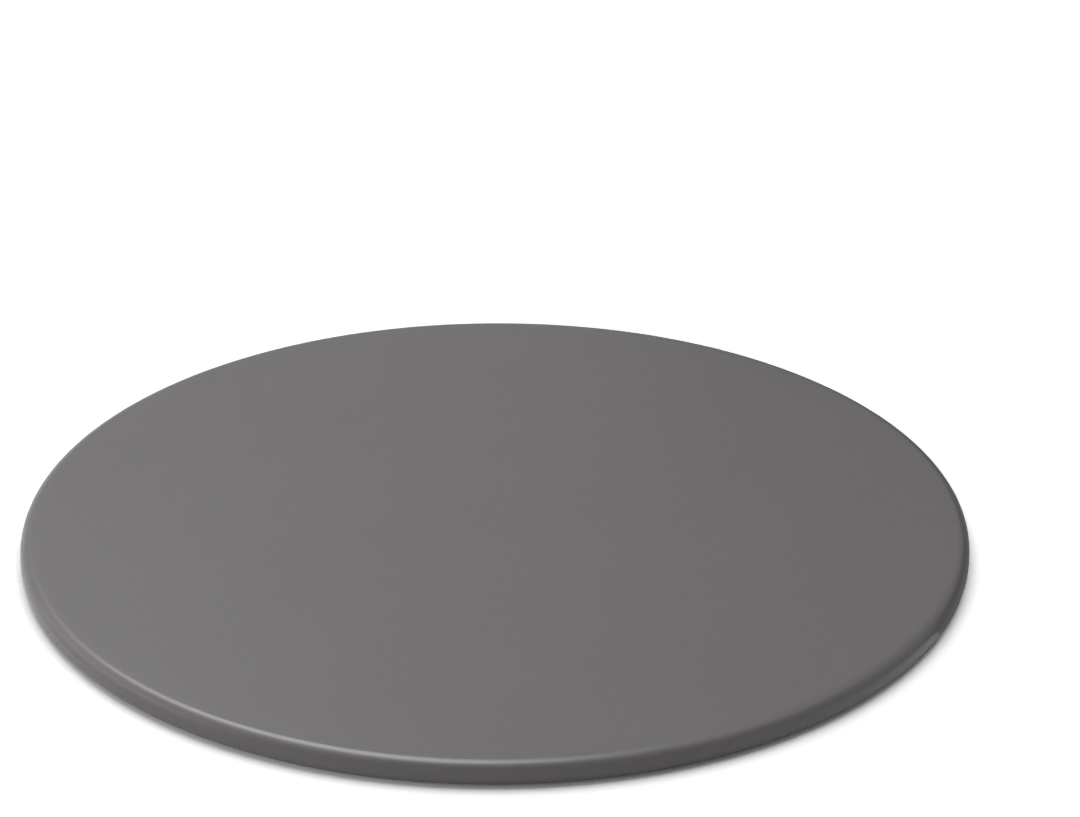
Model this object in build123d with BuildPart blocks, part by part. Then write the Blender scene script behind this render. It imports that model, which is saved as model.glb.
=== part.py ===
from build123d import *
from math import asin, degrees
import os

os.makedirs("parts", exist_ok=True)

# A round glazed baking stone. It is one fired piece: a pressed ceramic body that stands
# on moulded feet, and the glaze that is fired onto its top, its rim and a narrow band
# under the rim. Millimetres, +Z up, origin on the floor below the middle of the disc.

# Overall size of the glazed stone
diameter = 360.0
thickness = 10.5

# Glaze
glaze_thickness = 0.5
glaze_wrap = 3.0  # flat band of glaze under the disc, inside its lower round
glaze_feather = 1.0  # width over which the band thins out to nothing at the glaze line

# Rim: the glaze rounds off the bevels that the press leaves on the bare body
top_radius = 4.5  # outside the glaze
lower_radius = 3.5  # outside the glaze
bevel_share = 0.65  # of a round's radius, less the glaze, that its bevel takes off the body

# Feet: rings of low arcs, with straight vents between them for hot air and for washing water
foot_height = 1.2
foot_width = 6.0  # at the root
foot_draft = 30.0  # degrees that the sides lean, to leave the press mould
foot_inset = 14.5  # from the side of the bare body to the middle of the outermost ring
foot_rings = 2
vents = 4
vent_width = 9.0

# The bare body lies one coat of glaze inside the overall size
body_radius = diameter / 2 - glaze_thickness
body_top = thickness - glaze_thickness

# Outline of the bare body in the half section: distance from the axis, height
top_bevel = bevel_share * (top_radius - glaze_thickness)
lower_bevel = bevel_share * (lower_radius - glaze_thickness)
bare_outline = [
    (0, body_top),
    (body_radius - top_bevel, body_top),
    (body_radius, body_top - top_bevel),
    (body_radius, foot_height + lower_bevel),
    (body_radius - lower_bevel, foot_height),
]

# Centres of the two rounds of the glaze, and the line under the disc where it ends
top_centre = Vector(diameter / 2 - top_radius, thickness - top_radius)
glaze_low = foot_height - glaze_thickness
lower_centre = Vector(diameter / 2 - lower_radius, glaze_low + lower_radius)
glaze_line = lower_centre.X - glaze_wrap

# The rings of feet are evenly spaced, and the innermost is half a space from the axis
outer_foot_radius = body_radius - foot_inset
foot_pitch = outer_foot_radius / (foot_rings - 1 / 2)


def foot_arc(ring_radius):
    """Centre line of one foot: its ring between two vents, less the foot's round ends."""
    end_angle = degrees(asin((vent_width + foot_width) / 2 / ring_radius))
    half_sweep = 180 / vents - end_angle
    return Edge.make_circle(ring_radius, start_angle=-half_sweep, end_angle=half_sweep)


with BuildPart() as ceramic_body:
    # Slab with its two bevels
    with BuildSketch(Plane.XZ):
        with BuildLine():
            Polyline(*bare_outline, (0, foot_height), close=True)
        make_face()
    revolve(axis=Axis.Z)

    # Feet, drafted down from the underside
    with BuildSketch(Plane((0, 0, foot_height), z_dir=(0, 0, -1))):
        with PolarLocations(0, vents):
            for ring in range(foot_rings):
                SlotArc(foot_arc(foot_pitch * (ring + 1 / 2)), foot_width)
    extrude(amount=foot_height, taper=foot_draft)

with BuildPart() as glaze_coat:
    # One thin section, from the axis out over the rim and back in under it to the glaze line
    with BuildSketch(Plane.XZ):
        with BuildLine():
            Polyline(*bare_outline)
            top = CenterArc(top_centre, top_radius, 0, 90)
            lower = CenterArc(lower_centre, lower_radius, -90, 90)
            Polyline(bare_outline[0], (0, thickness), top @ 1)
            Line(top @ 0, lower @ 1)
            full_coat = (glaze_line + glaze_feather, glaze_low)
            Polyline(lower @ 0, full_coat, (glaze_line, foot_height), bare_outline[-1])
        make_face()
    revolve(axis=Axis.Z)

ceramic_body.part.label = "ceramic_body"
glaze_coat.part.label = "glaze_coat"

export_step(ceramic_body.part, "parts/ceramic_body.step")
export_step(glaze_coat.part, "parts/glaze_coat.step")
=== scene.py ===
from math import asin, atan, cos, pi, radians, sin

import bpy
from mathutils import Matrix, Vector


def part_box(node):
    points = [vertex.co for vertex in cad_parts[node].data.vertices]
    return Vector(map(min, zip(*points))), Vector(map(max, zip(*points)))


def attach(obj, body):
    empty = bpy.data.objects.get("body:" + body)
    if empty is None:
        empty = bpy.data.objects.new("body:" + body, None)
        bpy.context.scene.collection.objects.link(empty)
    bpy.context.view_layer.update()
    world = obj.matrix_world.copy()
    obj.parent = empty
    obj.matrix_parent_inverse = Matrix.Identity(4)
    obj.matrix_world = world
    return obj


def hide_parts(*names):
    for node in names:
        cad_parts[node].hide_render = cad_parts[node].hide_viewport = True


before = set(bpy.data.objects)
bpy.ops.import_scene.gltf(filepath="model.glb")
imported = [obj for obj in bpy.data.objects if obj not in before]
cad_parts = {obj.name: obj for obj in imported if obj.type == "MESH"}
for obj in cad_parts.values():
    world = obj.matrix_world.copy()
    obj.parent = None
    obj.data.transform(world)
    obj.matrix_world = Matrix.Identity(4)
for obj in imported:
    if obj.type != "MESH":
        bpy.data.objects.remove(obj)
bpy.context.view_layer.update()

# Everything is in metres
MM = 0.001

# Overall sizes of the stone, from its parts in model.glb
body_low, body_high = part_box("ceramic_body")
glaze_low, glaze_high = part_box("glaze_coat")
COAT = glaze_high.z - body_high.z
UNDERSIDE = glaze_low.z + COAT

# Half section of the bare disc, and of the glaze that rounds it off
DISC_SIZES = {
    "Body radius": body_high.x,
    "Top": body_high.z,
    "Underside": UNDERSIDE,
    "Top bevel": 2.6 * MM,
    "Lower bevel": 1.95 * MM,
}
LOWER_ROUND = 3.5 * MM
GLAZE_WRAP = 3.0 * MM  # flat band of glaze under the disc
GLAZE_SIZES = {
    "Coat": COAT,
    "Top round": 4.5 * MM,
    "Lower round": LOWER_ROUND,
    "Glaze line": glaze_high.x - LOWER_ROUND - GLAZE_WRAP,
    "Line wander": 0.6 * MM,
    "Waviness": 0.02 * MM,
}
WANDER_LENGTH = 22.0 * MM
WAVE_LENGTH = 45.0 * MM
EVEN_BAND = 3.0 * MM  # the clay is even this far in from the glaze line
CLAY_SIZES = {"Unevenness": 0.06 * MM, "Even edge": GLAZE_SIZES["Glaze line"] - EVEN_BAND}
CLAY_WAVE_LENGTH = 30.0 * MM

# Feet under the disc: rings of low arcs, with straight vents between them
FOOT_RINGS = 2
VENTS = 4
FOOT_WIDTH = 6.0 * MM
FOOT_INSET = 14.5 * MM
VENT_WIDTH = 9.0 * MM
FOOT_SIZES = {
    "Foot half width": FOOT_WIDTH / 2,
    "Vent half width": VENT_WIDTH / 2,
    "Floor": body_low.z,
    "Draft": 0.7 * MM,
    "Crown round": 0.5 * MM,
    "Root": 0.3 * MM,
}
FOOT_PITCH = (body_high.x - FOOT_INSET) / (FOOT_RINGS - 1 / 2)

# Fineness of the meshes: the steps of a turn, and the points of each stretch of a half section
TURN_STEPS = 512
BARE_POINTS = 5
FACE_POINTS = 33
TOP_ROUND_POINTS = 20
WALL_POINTS = 4
LOWER_ROUND_POINTS = 16
BAND_POINTS = 7
NOSE_POINTS = 8
UNDERSIDE_POINTS = 65
FOOT_CROWN_POINTS = 4
FOOT_BEND_POINTS = 5
FOOT_SIDE_POINTS = 4
FOOT_RISE_POINTS = 2
FOOT_BACK_POINTS = 3
FOOT_CAP_STEPS = 12
FOOT_SIDE_CAPS = 3  # a foot's side has this many times the steps of its round end
WELD = 0.005 * MM
SMOOTH_ANGLE = radians(40)

# Smooth random patterns of the glaze: the size of a bump, its height up and down from zero, and its
# detail. A half is added where one is to be a share from 0 to 1
GLAZE_PATTERNS = {
    "wide clouds": (60.0 * MM, 0.3, 1.0),
    "fine clouds": (3.0 * MM, 0.5, 3.0),
    "thin stretches": (7.0 * MM, 0.35, 1.0),
    "wide gloss": (28.0 * MM, 0.015, 1.0),
    "fine gloss": (1.4 * MM, 0.05, 1.0),
    "ripple": (6.0 * MM, 0.0015 * MM, 1.0),
    "peel": (1.3 * MM, 0.0022 * MM, 2.0),
}

# Its spots: the size of the cells they lie in, their radius, and the part of the cells that has one
GLAZE_SPOTS = {
    "flecks": (1.5 * MM, 0.16 * MM, 0.5),
    "pinholes": (9.0 * MM, 0.2 * MM, 0.18),
}

# The two linear colours of its clouds, and the layers over them from the lowest up: the colour, how
# much of it the mask of that name lays on, and how much of it lies everywhere
GLAZE_CLOUDS = (0.0663, 0.0596, 0.0613, 1.0), (0.0787, 0.0708, 0.0729, 1.0)
GLAZE_LAYERS = {
    "flecks": ((0.040, 0.036, 0.037, 1.0), 0.2, 0.0),
    "thin": ((0.0915, 0.0825, 0.0847, 1.0), 1.0, 0.0),
    "rolled": ((0.047, 0.042, 0.045, 1.0), 0.8, 0.0),
    "pinholes": ((0.035, 0.031, 0.032, 1.0), 0.6, 0.0),
}

# The glaze gets thin between these distances, both outside and above the centre of the top round
ARRIS_RANGE = 1.2 * MM, 3.2 * MM
ROLLED_WIDTH = 2.4 * MM
GLAZE_ROUGHNESS = 0.36
ROLLED_GLOSS = 0.08  # the rolled edge is less rough by this
PINHOLE_DEPTH = 0.03 * MM
GLAZE_IOR = 1.5

# The same for the bare clay
CLAY_PATTERNS = {
    "wide clouds": (26.0 * MM, 0.5, 3.0),
    "fine clouds": (4.0 * MM, 0.35, 3.0),
    "grain": (0.5 * MM, 0.5, 3.0),
    "flashing edge": (14.0 * MM, 4.0 * MM, 2.0),
    "scuffs": (5.0 * MM, 0.6, 3.0),
    "ring wander": (40.0 * MM, 1.0 * MM, 1.0),
    "ring strength": (20.0 * MM, 0.5, 1.0),
    "dryness": (1.0 * MM, 0.08, 2.0),
}
CLAY_SPOTS = {
    "grog": (1.9 * MM, 0.42 * MM, 0.55),
    "iron": (5.5 * MM, 0.38 * MM, 0.5),
    "pits": (4.2 * MM, 0.45 * MM, 0.35),
}
CLAY_CLOUDS = (0.44, 0.33, 0.225, 1.0), (0.60, 0.475, 0.345, 1.0)
CLAY_LAYERS = {
    "grain": ((0.37, 0.275, 0.19, 1.0), 0.5, 0.2),
    "press rings": ((0.68, 0.56, 0.43, 1.0), 0.08, 0.05),
    "flashing": ((0.40, 0.205, 0.10, 1.0), 0.6, 0.0),
    "grog": ((0.72, 0.63, 0.52, 1.0), 0.45, 0.0),
    "iron": ((0.12, 0.065, 0.04, 1.0), 0.75, 0.0),
    "pits": ((0.25, 0.18, 0.12, 1.0), 0.5, 0.0),
    "scuffed": ((0.70, 0.62, 0.53, 1.0), 0.55, 0.0),
}

# The flashing sets in between these distances from the axis, and the scuffs between these heights
FLASHING_RANGE = GLAZE_SIZES["Glaze line"] - 13.0 * MM, GLAZE_SIZES["Glaze line"] + 1.0 * MM
SCUFF_RANGE = 0.35 * MM, 0.05 * MM
SCUFF_COVER = 0.65
RING_SPACING = 2.4 * MM
CLAY_ROUGHNESS = 0.86
SCUFFED_GLOSS = 0.14
GRAIN_HEIGHT = 0.05 * MM
RING_HEIGHT = 0.006 * MM
GROG_HEIGHT = 0.02 * MM
PIT_DEPTH = 0.12 * MM

# The camera, from the size of the photograph and from where the stone lies in it
PHOTO_WIDTH_PX = 1080
PHOTO_HEIGHT_PX = 817
STONE_CENTRE_PX = Vector((495.2, 551.9))
STONE_SCALE_PX = 2.6275 / MM
SIGHT_ELEVATION = radians(28.09)
CAMERA_DISTANCE = 2.5
SENSOR_WIDTH_MM = 36.0

# The studio. The world and the floor have one tone as light and another as a white background
WORLD_LIGHT = 0.15
FLOOR_RADIUS = 0.9
FLOOR_STEPS = 96
FLOOR_TONE = 0.8
FLOOR_SEEN = 1.42

# Lamps: the middles of the two ends, the width and the brightness. Some only light the scene, and the
# others are only mirrored in the glaze
SOFT_LIGHTS = {
    "overhead_light": ((-1.2, 0.5, 2.2), (1.2, 0.5, 2.2), 2.6, 2.15),
    "left_light": ((-1.4, -1.0, 0.16), (-1.4, 0.2, 0.16), 0.3, 12.0),
    "front_light": ((-1.1, -1.6, 0.2), (0.5, -1.6, 0.2), 0.3, 3.0),
}
MIRRORED_PANELS = {
    "rim_panel": ((0.03, -0.42, 1.77), (-0.64, 0.91, 1.17), 0.68, 6.9),
    "ceiling_panel": ((-1.9, 0.1, 2.0), (1.9, 0.1, 2.0), 2.6, 0.9),
    "sheen_panel": ((-1.3, 1.0, 1.05), (-0.15, 1.0, 1.05), 0.7, 1.05),
    "left_panel": ((-1.5, -0.6, 0.45), (-1.1, 0.75, 0.45), 0.85, 1.2),
}

# Two sheets that only show in reflections, in the rim at the right: a grey mat on the floor, from the
# stone outwards, and a dark card that stands behind it. Angles go from the right towards the back
MAT_ANGLES = radians(-22), radians(80)
MAT_RADII = glaze_high.x + 0.5 * MM, 0.75
MAT_HEIGHT = 0.2 * MM
MAT_TONE = 0.5
MAT_STEPS = 24
CARD_ENDS = Vector((0.08, 0.79, 0.0)), Vector((0.85, 0.35, 0.0))
CARD_HEIGHT = 0.22
CARD_TONE = 0.02


# Node trees

class Number:
    """A number in a node tree, which takes part in sums written with the usual signs."""

    def __init__(self, tree, socket):
        self.tree = tree
        self.socket = socket

    def __add__(self, other):
        return maths(self.tree, "ADD", self, other)

    def __sub__(self, other):
        return maths(self.tree, "SUBTRACT", self, other)

    def __mul__(self, other):
        return maths(self.tree, "MULTIPLY", self, other)

    def __truediv__(self, other):
        return maths(self.tree, "DIVIDE", self, other)

    def __neg__(self):
        return self * -1.0


def add_node(tree, kind, links=(), **settings):
    """Add a node. `links` gives its inputs by name or place: a Number, a socket or a plain value."""
    made = tree.nodes.new(kind)
    for name, value in settings.items():
        setattr(made, name, value)
    for key, value in dict(links).items():
        if isinstance(value, Number):
            value = value.socket
        if isinstance(value, bpy.types.NodeSocket):
            tree.links.new(value, made.inputs[key])
        else:
            made.inputs[key].default_value = value
    return made


def maths(tree, operation, *values):
    made = add_node(tree, "ShaderNodeMath", enumerate(values), operation=operation)
    return Number(tree, made.outputs[0])


def vector(tree, x=0.0, y=0.0, z=0.0):
    return add_node(tree, "ShaderNodeCombineXYZ", {"X": x, "Y": y, "Z": z}).outputs[0]


def scaled(tree, direction, size):
    links = {"Vector": direction, "Scale": size}
    return add_node(tree, "ShaderNodeVectorMath", links, operation="SCALE").outputs[0]


def clamped(tree, value):
    """The value, held between 0 and 1."""
    return Number(tree, add_node(tree, "ShaderNodeClamp", {"Value": value}).outputs[0])


def smooth_step(tree, value, low, high):
    """A smooth rise from 0 to 1 as the value goes from low to high, held at both ends."""
    links = {"Value": value, "From Min": low, "From Max": high}
    step = add_node(tree, "ShaderNodeMapRange", links, interpolation_type="SMOOTHERSTEP")
    return Number(tree, step.outputs["Result"])


SOCKET_KINDS = {float: "NodeSocketFloat", bpy.types.Material: "NodeSocketMaterial"}


def geometry_tree(name, sizes):
    """A geometry node tree with a named input for each size. Gives the tree and its inputs by name."""
    tree = bpy.data.node_groups.new(name, "GeometryNodeTree")
    tree.interface.new_socket("Geometry", in_out="OUTPUT", socket_type="NodeSocketGeometry")
    for key, value in sizes.items():
        socket = tree.interface.new_socket(key, in_out="INPUT", socket_type=SOCKET_KINDS[type(value)])
        socket.default_value = value
    inputs = tree.nodes.new("NodeGroupInput").outputs
    return tree, {key: Number(tree, inputs[key]) for key in sizes}


def give(tree, geometry):
    """End a geometry node tree with this geometry."""
    add_node(tree, "NodeGroupOutput", {"Geometry": geometry})
    return tree


def use(tree, inner, links):
    """The geometry of one node tree, used inside another with these inputs."""
    return add_node(tree, "GeometryNodeGroup", links, node_tree=inner).outputs[0]


def joined(tree, *parts):
    join = tree.nodes.new("GeometryNodeJoinGeometry")
    for part in reversed(parts):
        tree.links.new(part, join.inputs[0])
    return join.outputs[0]


def moved(tree, geometry, **links):
    return add_node(tree, "GeometryNodeTransform", {"Geometry": geometry, **links}).outputs[0]


def made_by(tree, sizes, name):
    """The plain mesh object that a node tree makes from these sizes."""
    maker = bpy.data.objects.new(name + "_maker", bpy.data.meshes.new(name + "_maker"))
    bpy.context.scene.collection.objects.link(maker)
    modifier = maker.modifiers.new(tree.name, "NODES")
    modifier.node_group = tree
    for socket in tree.interface.items_tree:
        if socket.in_out == "INPUT":
            modifier[socket.identifier] = sizes[socket.name]
    evaluated = maker.evaluated_get(bpy.context.evaluated_depsgraph_get())
    mesh = bpy.data.meshes.new_from_object(evaluated)
    maker.modifiers.remove(modifier)
    bpy.data.objects.remove(maker)
    mesh.name = name
    piece = bpy.data.objects.new(name, mesh)
    bpy.context.scene.collection.objects.link(piece)
    return piece


# Half sections, drawn with x as the distance from the middle and y as the height

def arc(tree, centre, radius, start, sweep, points):
    links = {"Resolution": points, "Radius": radius, "Start Angle": start, "Sweep Angle": sweep}
    curve = add_node(tree, "GeometryNodeCurveArc", links, mode="RADIUS").outputs["Curve"]
    return moved(tree, curve, Translation=centre)


def line(tree, start, end, points):
    curve = add_node(tree, "GeometryNodeCurvePrimitiveLine", {"Start": start, "End": end}).outputs[0]
    cut = {"Curve": curve, "Count": points}
    return add_node(tree, "GeometryNodeResampleCurve", cut, mode="COUNT").outputs[0]


def turned(tree, section, steps):
    """The surface that a half section makes round the axis, not yet welded. Also how far round the
    axis each of its points lies, as a part of the turn."""
    path_radius = 1.0 * MM
    round_path = {"Resolution": steps, "Radius": path_radius}
    circle = add_node(tree, "GeometryNodeCurvePrimitiveCircle", round_path)
    part = maths(tree, "DIVIDE", tree.nodes.new("GeometryNodeInputIndex").outputs[0], steps)
    marked = add_node(tree, "GeometryNodeCaptureAttribute", {"Geometry": circle.outputs["Curve"]})
    marked.capture_items.new("FLOAT", "Part")
    tree.links.new(part.socket, marked.inputs["Part"])
    marked_path = marked.outputs["Geometry"]
    path = add_node(tree, "GeometryNodeSetCurveNormal", {"Curve": marked_path}, mode="Z_UP")
    profile = moved(tree, section, Translation=(-path_radius, 0.0, 0.0))
    profile = moved(tree, profile, Scale=(1.0, -1.0, 1.0))
    links = {"Curve": path.outputs["Curve"], "Profile Curve": profile}
    mesh = add_node(tree, "GeometryNodeCurveToMesh", links).outputs["Mesh"]
    return mesh, Number(tree, marked.outputs["Part"])


def welded(tree, mesh):
    return add_node(tree, "GeometryNodeMergeByDistance", {"Geometry": mesh, "Distance": WELD}).outputs[0]


def split(tree, place):
    """The x, y and height of a place, and its distance from the axis."""
    parts = add_node(tree, "ShaderNodeSeparateXYZ", {0: place}).outputs
    x, y, height = [Number(tree, part) for part in parts]
    return x, y, height, maths(tree, "SQRT", x * x + y * y)


def mesh_place(tree):
    return tree.nodes.new("GeometryNodeInputPosition").outputs[0]


def placed(tree, mesh, **links):
    """A mesh with its points at a new position, or moved by an offset."""
    return add_node(tree, "GeometryNodeSetPosition", {"Geometry": mesh, **links}).outputs[0]


def bumps(tree, place, size, height, detail=1.0):
    """A smooth random height, up and down from zero, with bumps of about this size."""
    links = {"Vector": place, "Scale": 1 / size, "Detail": detail}
    noise = Number(tree, add_node(tree, "ShaderNodeTexNoise", links).outputs["Fac"])
    return (noise - 0.5) * 2.0 * height


def finished(tree, mesh, finish):
    """The end of each piece's tree: smooth shading but for the sharp edges, and the finish."""
    angle = Number(tree, tree.nodes.new("GeometryNodeInputMeshEdgeAngle").outputs["Unsigned Angle"])
    smooth = {"Geometry": mesh, "Shade Smooth": maths(tree, "LESS_THAN", angle, SMOOTH_ANGLE)}
    smoothed = add_node(tree, "GeometryNodeSetShadeSmooth", smooth, domain="EDGE").outputs[0]
    real = add_node(tree, "GeometryNodeRealizeInstances", {"Geometry": smoothed}).outputs[0]
    coloured = add_node(tree, "GeometryNodeSetMaterial", {"Geometry": real, "Material": finish})
    return give(tree, coloured.outputs[0])


def bare_section(tree, size):
    """The bare disc, from the middle of its top face over the rim to the inner end of its lower bevel."""
    body_radius, top, underside = size["Body radius"], size["Top"], size["Underside"]
    corners = [
        vector(tree, 0.0, top),
        vector(tree, body_radius - size["Top bevel"], top),
        vector(tree, body_radius, top - size["Top bevel"]),
        vector(tree, body_radius, underside + size["Lower bevel"]),
        vector(tree, body_radius - size["Lower bevel"], underside),
    ]
    stretches = [line(tree, start, end, BARE_POINTS) for start, end in zip(corners, corners[1:])]
    return joined(tree, *stretches), corners[-1]


def glazed_section(tree, size):
    """The outside of the glaze, from the middle of the baking face to its edge under the disc."""
    radius = size["Body radius"] + size["Coat"]
    face_y = size["Top"] + size["Coat"]
    band_y = size["Underside"] - size["Coat"]
    top_x = radius - size["Top round"]
    top_y = face_y - size["Top round"]
    low_x = radius - size["Lower round"]
    low_y = band_y + size["Lower round"]
    edge_x = size["Glaze line"] + size["Coat"]
    face = line(tree, vector(tree, 0.0, face_y), vector(tree, top_x, face_y), FACE_POINTS)
    top_centre = vector(tree, top_x, top_y)
    top = arc(tree, top_centre, size["Top round"], pi / 2, -pi / 2, TOP_ROUND_POINTS)
    wall = line(tree, vector(tree, radius, top_y), vector(tree, radius, low_y), WALL_POINTS)
    low_centre = vector(tree, low_x, low_y)
    low = arc(tree, low_centre, size["Lower round"], 0.0, -pi / 2, LOWER_ROUND_POINTS)
    band = line(tree, vector(tree, low_x, band_y), vector(tree, edge_x, band_y), BAND_POINTS)
    nose_centre = vector(tree, edge_x, size["Underside"])
    nose = arc(tree, nose_centre, size["Coat"], -pi / 2, -pi / 2, NOSE_POINTS)
    return joined(tree, face, top, wall, low, band, nose)


def foot_section(tree, size):
    """Half section of a foot: from its middle inside the slab over its root and side to its crown."""
    half = size["Foot half width"]
    bend_x = half - size["Draft"] - size["Crown round"]
    bend_y = size["Floor"] + size["Crown round"]
    inside = size["Underside"] + size["Root"]
    crown_ends = vector(tree, 0.0, size["Floor"]), vector(tree, bend_x, size["Floor"])
    crown = line(tree, *crown_ends, FOOT_CROWN_POINTS)
    bend_centre = vector(tree, bend_x, bend_y)
    bend = arc(tree, bend_centre, size["Crown round"], -pi / 2, pi / 2, FOOT_BEND_POINTS)
    root = vector(tree, half, size["Underside"])
    side = line(tree, vector(tree, half - size["Draft"], bend_y), root, FOOT_SIDE_POINTS)
    rise = line(tree, root, vector(tree, half, inside), FOOT_RISE_POINTS)
    back = line(tree, vector(tree, half, inside), vector(tree, 0.0, inside), FOOT_BACK_POINTS)
    upward = joined(tree, crown, bend, side, rise, back)
    return add_node(tree, "GeometryNodeReverseCurve", {"Curve": upward}).outputs[0]


def foot_tree():
    """One foot: a round button turned from the half section, drawn out along its ring."""
    tree, size = geometry_tree("Foot", {"Ring radius": FOOT_PITCH / 2, **DISC_SIZES, **FOOT_SIZES})
    caps = 2 * (FOOT_SIDE_CAPS + 1)
    button, part = turned(tree, foot_section(tree, size), caps * FOOT_CAP_STEPS)
    _, _, height, from_middle = split(tree, mesh_place(tree))

    # Round the outline: along the outer side, round the far end, back along the inner side, and round
    # the near end. The share is the place along the foot's centre line, from -1 to 1
    step = part * caps
    outward = step * (2 / FOOT_SIDE_CAPS) - 1.0
    homeward = -(step - (FOOT_SIDE_CAPS + 1)) * (2 / FOOT_SIDE_CAPS) + 1.0
    share = maths(tree, "MAXIMUM", maths(tree, "MINIMUM", outward, homeward), -1.0)
    share = maths(tree, "MINIMUM", share, 1.0)
    far_turn = step - FOOT_SIDE_CAPS
    near_turn = step - (2 * FOOT_SIDE_CAPS + 1)
    turn = clamped(tree, far_turn) + clamped(tree, near_turn)
    ring = size["Ring radius"]
    end_inset = size["Foot half width"] + size["Vent half width"]
    half_sweep = -(maths(tree, "ARCSINE", end_inset / ring) - pi / VENTS)
    along = half_sweep * share
    across = along + turn * pi
    new_x = ring * maths(tree, "COSINE", along) + from_middle * maths(tree, "COSINE", across)
    new_y = ring * maths(tree, "SINE", along) + from_middle * maths(tree, "SINE", across)
    foot = placed(tree, button, Position=vector(tree, new_x, new_y, height))
    return give(tree, welded(tree, foot))


def underneath(tree, size, height):
    """1 on the lower half of the disc, and 0 on its upper half."""
    return maths(tree, "LESS_THAN", height, size["Top"] / 2)


def slab(tree, size):
    """The disc without its feet. Its clay is a little uneven underneath, but not next to the glaze."""
    rim, bevel_end = bare_section(tree, size)
    under = line(tree, bevel_end, vector(tree, 0.0, size["Underside"]), UNDERSIDE_POINTS)
    mesh, _ = turned(tree, joined(tree, rim, under), TURN_STEPS)
    _, _, height, radius = split(tree, mesh_place(tree))
    inside = smooth_step(tree, radius, size["Even edge"], size["Even edge"] - CLAY_WAVE_LENGTH / 2)
    inside = inside * underneath(tree, size, height)
    rise = bumps(tree, mesh_place(tree), CLAY_WAVE_LENGTH, size["Unevenness"]) * inside
    return placed(tree, welded(tree, mesh), Offset=vector(tree, z=rise))


def body_tree(finish):
    """The bare fired body: the slab with its feet."""
    sizes = {"Foot pitch": FOOT_PITCH, **DISC_SIZES, **CLAY_SIZES, **FOOT_SIZES, "Finish": finish}
    tree, size = geometry_tree("Ceramic body", sizes)
    foot = foot_tree()
    feet = []
    for ring in range(FOOT_RINGS):
        links = {key: size[key] for key in (*DISC_SIZES, *FOOT_SIZES)}
        feet.append(use(tree, foot, {"Ring radius": size["Foot pitch"] * (ring + 0.5), **links}))
    quarter = joined(tree, *feet)
    quarters = [moved(tree, quarter, Rotation=(0.0, 0.0, 2 * pi * turn / VENTS)) for turn in range(VENTS)]
    union = add_node(tree, "GeometryNodeMeshBoolean", operation="UNION", solver="MANIFOLD")
    tree.links.new(slab(tree, size), union.inputs["Mesh 2"])
    tree.links.new(joined(tree, *quarters), union.inputs["Mesh 2"])
    return finished(tree, union.outputs["Mesh"], size["Finish"]), sizes


def glaze_tree(finish):
    """The glaze: its outside, its seat on the bare disc, and the rolled edge where it ends."""
    sizes = {**DISC_SIZES, **GLAZE_SIZES, "Finish": finish}
    tree, size = geometry_tree("Glaze coat", sizes)
    outside, _ = turned(tree, glazed_section(tree, size), TURN_STEPS)
    bare, bevel_end = bare_section(tree, size)
    lining = add_node(tree, "GeometryNodeReverseCurve", {"Curve": bare}).outputs[0]
    seat = line(tree, vector(tree, size["Glaze line"], size["Underside"]), bevel_end, BAND_POINTS)
    inside, _ = turned(tree, joined(tree, seat, lining), TURN_STEPS)
    whole = wandering(tree, size, joined(tree, wavy(tree, size, welded(tree, outside)), inside))
    return finished(tree, welded(tree, whole), size["Finish"]), sizes


def wavy(tree, size, outside):
    """The outside of the glaze, no longer quite flat: it ran a little in the kiln."""
    _, _, height, _ = split(tree, mesh_place(tree))
    wall = smooth_step(tree, height, size["Underside"], size["Underside"] + size["Lower round"])
    normal = tree.nodes.new("GeometryNodeInputNormal").outputs[0]
    rise = bumps(tree, mesh_place(tree), WAVE_LENGTH, size["Waviness"]) * wall
    return placed(tree, outside, Offset=scaled(tree, normal, rise))


def wandering(tree, size, mesh):
    """The glaze with an uneven line where it ends under the disc, as it is wiped off by hand."""
    x, y, height, radius = split(tree, mesh_place(tree))
    band_start = size["Body radius"] + size["Coat"] - size["Lower round"]
    share = smooth_step(tree, radius, band_start, size["Glaze line"] + size["Coat"])
    share = share * underneath(tree, size, height)
    sideways = {0: vector(tree, x, y)}
    away = add_node(tree, "ShaderNodeVectorMath", sideways, operation="NORMALIZE").outputs[0]
    on_line = scaled(tree, away, size["Glaze line"])
    shift = bumps(tree, on_line, WANDER_LENGTH, size["Line wander"]) * share
    return placed(tree, mesh, Offset=scaled(tree, away, shift))


# Finishes

def finish_tree(name):
    """A new material, its tree, and the place on the object that its patterns follow."""
    material = bpy.data.materials.new(name)
    material.use_nodes = True
    tree = material.node_tree
    tree.nodes.clear()
    return material, tree, tree.nodes.new("ShaderNodeTexCoord").outputs["Object"]


def end_finish(tree, colour, roughness, relief, **values):
    """The end of each finish. The relief is a height in metres."""
    bump = add_node(tree, "ShaderNodeBump", {"Strength": 1.0, "Distance": 1.0, "Height": relief})
    links = {"Base Color": colour, "Roughness": roughness, "Normal": bump.outputs[0], **values}
    shader = add_node(tree, "ShaderNodeBsdfPrincipled", links)
    add_node(tree, "ShaderNodeOutputMaterial", {"Surface": shader.outputs[0]})


def mixed(tree, share, start, end):
    """A colour that goes from one to another as the share goes from 0 to 1."""
    return add_node(tree, "ShaderNodeMix", {0: share, 6: start, 7: end}, data_type="RGBA").outputs[2]


def layered(tree, colour, layers, masks):
    """A colour with other colours laid over it, each where the mask of its name is 1."""
    for name, (tone, strength, everywhere) in layers.items():
        colour = mixed(tree, masks[name] * strength + everywhere, colour, tone)
    return colour


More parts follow.
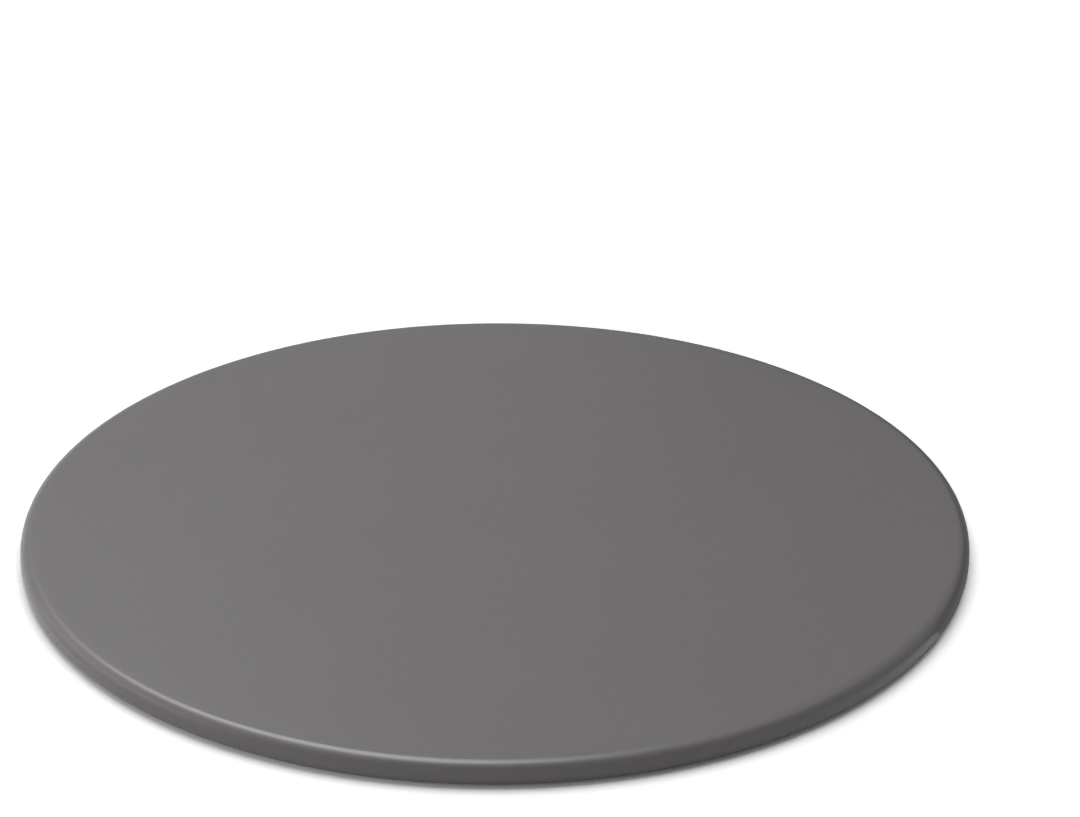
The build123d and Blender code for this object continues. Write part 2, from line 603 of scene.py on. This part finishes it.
def spots(tree, place, spacing, radius, part_of_all):
    """1 inside scattered round spots and 0 between them. Only a part of the cells has a spot."""
    cell = add_node(tree, "ShaderNodeTexVoronoi", {"Vector": place, "Scale": 1 / spacing})
    chance = add_node(tree, "ShaderNodeSeparateXYZ", {0: cell.outputs["Color"]}).outputs[0]
    edge = radius / spacing
    spot = smooth_step(tree, Number(tree, cell.outputs["Distance"]), edge, edge / 3)
    return spot * maths(tree, "LESS_THAN", chance, part_of_all)


def glaze_finish():
    """Satin glaze, nearly even: thin and lighter over the arris, and thick where it ends underneath."""
    material, tree, place = finish_tree("warm_grey_satin_glaze")
    _, _, height, radius = split(tree, place)
    noise = {name: bumps(tree, place, *values) for name, values in GLAZE_PATTERNS.items()}
    masks = {name: spots(tree, place, *values) for name, values in GLAZE_SPOTS.items()}

    low, high = ARRIS_RANGE
    rim = glaze_high.x - GLAZE_SIZES["Top round"]
    shoulder = glaze_high.z - GLAZE_SIZES["Top round"]
    arris = smooth_step(tree, radius, rim + low, rim + high)
    arris = arris * smooth_step(tree, height, shoulder + low, shoulder + high)
    masks["thin"] = arris * (noise["thin stretches"] + 0.5)

    edge = GLAZE_SIZES["Glaze line"]
    rolled = smooth_step(tree, height, UNDERSIDE, glaze_low.z)
    rolled = rolled * smooth_step(tree, radius, edge + ROLLED_WIDTH, edge)
    masks["rolled"] = rolled

    clouds = noise["wide clouds"] + noise["fine clouds"] + 0.5
    colour = layered(tree, mixed(tree, clouds, *GLAZE_CLOUDS), GLAZE_LAYERS, masks)
    roughness = noise["wide gloss"] + noise["fine gloss"] - rolled * ROLLED_GLOSS + GLAZE_ROUGHNESS
    relief = noise["ripple"] + noise["peel"] - masks["pinholes"] * PINHOLE_DEPTH
    end_finish(tree, colour, roughness, relief, IOR=GLAZE_IOR)
    return material


def ceramic_finish():
    """Bare fired clay: buff with grog and iron, flashed next to the glaze and scuffed on its feet."""
    material, tree, place = finish_tree("bare_buff_ceramic")
    _, _, height, radius = split(tree, place)
    noise = {name: bumps(tree, place, *values) for name, values in CLAY_PATTERNS.items()}
    masks = {name: spots(tree, place, *values) for name, values in CLAY_SPOTS.items()}
    masks["grain"] = noise["grain"]
    masks["flashing"] = smooth_step(tree, radius + noise["flashing edge"], *FLASHING_RANGE)
    scuffed = smooth_step(tree, height, *SCUFF_RANGE) * (noise["scuffs"] + SCUFF_COVER)
    masks["scuffed"] = scuffed
    rings = maths(tree, "SINE", (radius + noise["ring wander"]) * (2 * pi / RING_SPACING))
    rings = rings * (noise["ring strength"] + 0.5)
    masks["press rings"] = rings

    clouds = noise["wide clouds"] + noise["fine clouds"] + 0.5
    colour = layered(tree, mixed(tree, clouds, *CLAY_CLOUDS), CLAY_LAYERS, masks)
    roughness = noise["dryness"] - scuffed * SCUFFED_GLOSS + CLAY_ROUGHNESS
    relief = noise["grain"] * GRAIN_HEIGHT + rings * RING_HEIGHT
    relief = relief + masks["grog"] * GROG_HEIGHT - masks["pits"] * PIT_DEPTH
    end_finish(tree, colour, roughness, relief)
    return material


# Studio

def add_camera():
    """The photograph's view: the stone's middle falls where it does in the picture."""
    focal_px = STONE_SCALE_PX * CAMERA_DISTANCE
    aside = (PHOTO_WIDTH_PX / 2 - STONE_CENTRE_PX.x) / focal_px
    above = (STONE_CENTRE_PX.y - PHOTO_HEIGHT_PX / 2) / focal_px
    tilt = SIGHT_ELEVATION - atan(above)
    swing = asin(aside / cos(SIGHT_ELEVATION))
    camera_data = bpy.data.cameras.new("camera")
    camera_data.sensor_width = SENSOR_WIDTH_MM
    camera_data.lens = focal_px / PHOTO_WIDTH_PX * SENSOR_WIDTH_MM
    camera = bpy.data.objects.new("camera", camera_data)
    camera.location = CAMERA_DISTANCE * Vector((0, -cos(SIGHT_ELEVATION), sin(SIGHT_ELEVATION)))
    camera.rotation_euler = (pi / 2 - tilt, 0, -swing)
    bpy.context.scene.collection.objects.link(camera)
    bpy.context.scene.camera = camera


def add_world():
    world = bpy.data.worlds.new("studio")
    bpy.context.scene.world = world
    world.use_nodes = True
    tree = world.node_tree
    tree.nodes.clear()
    strength = seen_directly(tree) * (1.0 - WORLD_LIGHT) + WORLD_LIGHT
    sky = add_node(tree, "ShaderNodeBackground", {"Color": (1.0, 1.0, 1.0, 1.0), "Strength": strength})
    add_node(tree, "ShaderNodeOutputWorld", {"Surface": sky.outputs[0]})


def seen_directly(tree):
    """1 for a ray of the camera, a reflection or a refraction, and 0 for one that only carries light."""
    path = tree.nodes.new("ShaderNodeLightPath").outputs
    seen = maths(tree, "MAXIMUM", path["Is Camera Ray"], path["Is Glossy Ray"])
    return maths(tree, "MAXIMUM", seen, path["Is Transmission Ray"])


def add_sheet(name, corners, faces, colour_of):
    """A sheet of the studio, which isn't part of the stone."""
    mesh = bpy.data.meshes.new(name)
    mesh.from_pydata(corners, [], faces)
    sheet = bpy.data.objects.new(name, mesh)
    bpy.context.scene.collection.objects.link(sheet)
    material, tree, _ = finish_tree(name)
    matt = add_node(tree, "ShaderNodeBsdfDiffuse", {"Color": colour_of(tree)})
    add_node(tree, "ShaderNodeOutputMaterial", {"Surface": matt.outputs[0]})
    mesh.materials.append(material)
    return sheet


def floor_colour(tree):
    tone = seen_directly(tree) * (FLOOR_SEEN - FLOOR_TONE) + FLOOR_TONE
    return vector(tree, tone, tone, tone)


def add_floor():
    """A round floor. It ends where it is still lit enough to merge into the white behind it."""
    turns = [2 * pi * step / FLOOR_STEPS for step in range(FLOOR_STEPS)]
    corners = [(FLOOR_RADIUS * cos(turn), FLOOR_RADIUS * sin(turn), 0) for turn in turns]
    add_sheet("pale_floor", corners, [range(FLOOR_STEPS)], floor_colour)


def add_cards():
    """The grey mat and the dark card."""
    first, last = MAT_ANGLES
    mat = []
    for step in range(MAT_STEPS + 1):
        angle = first + (last - first) * step / MAT_STEPS
        mat += [(radius * cos(angle), radius * sin(angle), MAT_HEIGHT) for radius in MAT_RADII]
    strips = [(at, at + 1, at + 3, at + 2) for at in range(0, 2 * MAT_STEPS, 2)]
    near, far = CARD_ENDS
    rise = Vector((0, 0, CARD_HEIGHT))
    for name, tone, corners, faces in (
        ("grey_mat", MAT_TONE, mat, strips),
        ("dark_card", CARD_TONE, [near, far, far + rise, near + rise], [(0, 1, 2, 3)]),
    ):
        sheet = add_sheet(name, corners, faces, lambda tree: (tone, tone, tone, 1.0))
        sheet.visible_camera = sheet.visible_diffuse = sheet.visible_shadow = False


def add_lamp(name, near_end, far_end, width, brightness):
    """An area lamp that faces the stone, between the middles of its two ends. Its power is what makes
    its surface this bright."""
    near, far = Vector(near_end), Vector(far_end)
    along = (far - near).normalized()
    outward = (near + far).normalized()
    across = outward.cross(along).normalized()
    data = bpy.data.lights.new(name, "AREA")
    data.shape = "RECTANGLE"
    data.size = (far - near).length
    data.size_y = width
    data.energy = brightness * pi * data.size * data.size_y
    lamp = bpy.data.objects.new(name, data)
    lamp.rotation_euler = Matrix((along, across, along.cross(across))).transposed().to_euler()
    lamp.location = (near + far) / 2
    lamp.visible_camera = False
    bpy.context.scene.collection.objects.link(lamp)
    return lamp


glaze = made_by(*glaze_tree(glaze_finish()), "glaze_coat_fired")
body = made_by(*body_tree(ceramic_finish()), "ceramic_body_fired")
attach(glaze, "root")
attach(body, "root")
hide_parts("glaze_coat")
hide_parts("ceramic_body")

add_camera()
add_world()
add_floor()
add_cards()
for name, values in SOFT_LIGHTS.items():
    add_lamp(name, *values).visible_glossy = False
for name, values in MIRRORED_PANELS.items():
    add_lamp(name, *values).visible_diffuse = False
bpy.context.scene.view_settings.view_transform = "Standard"
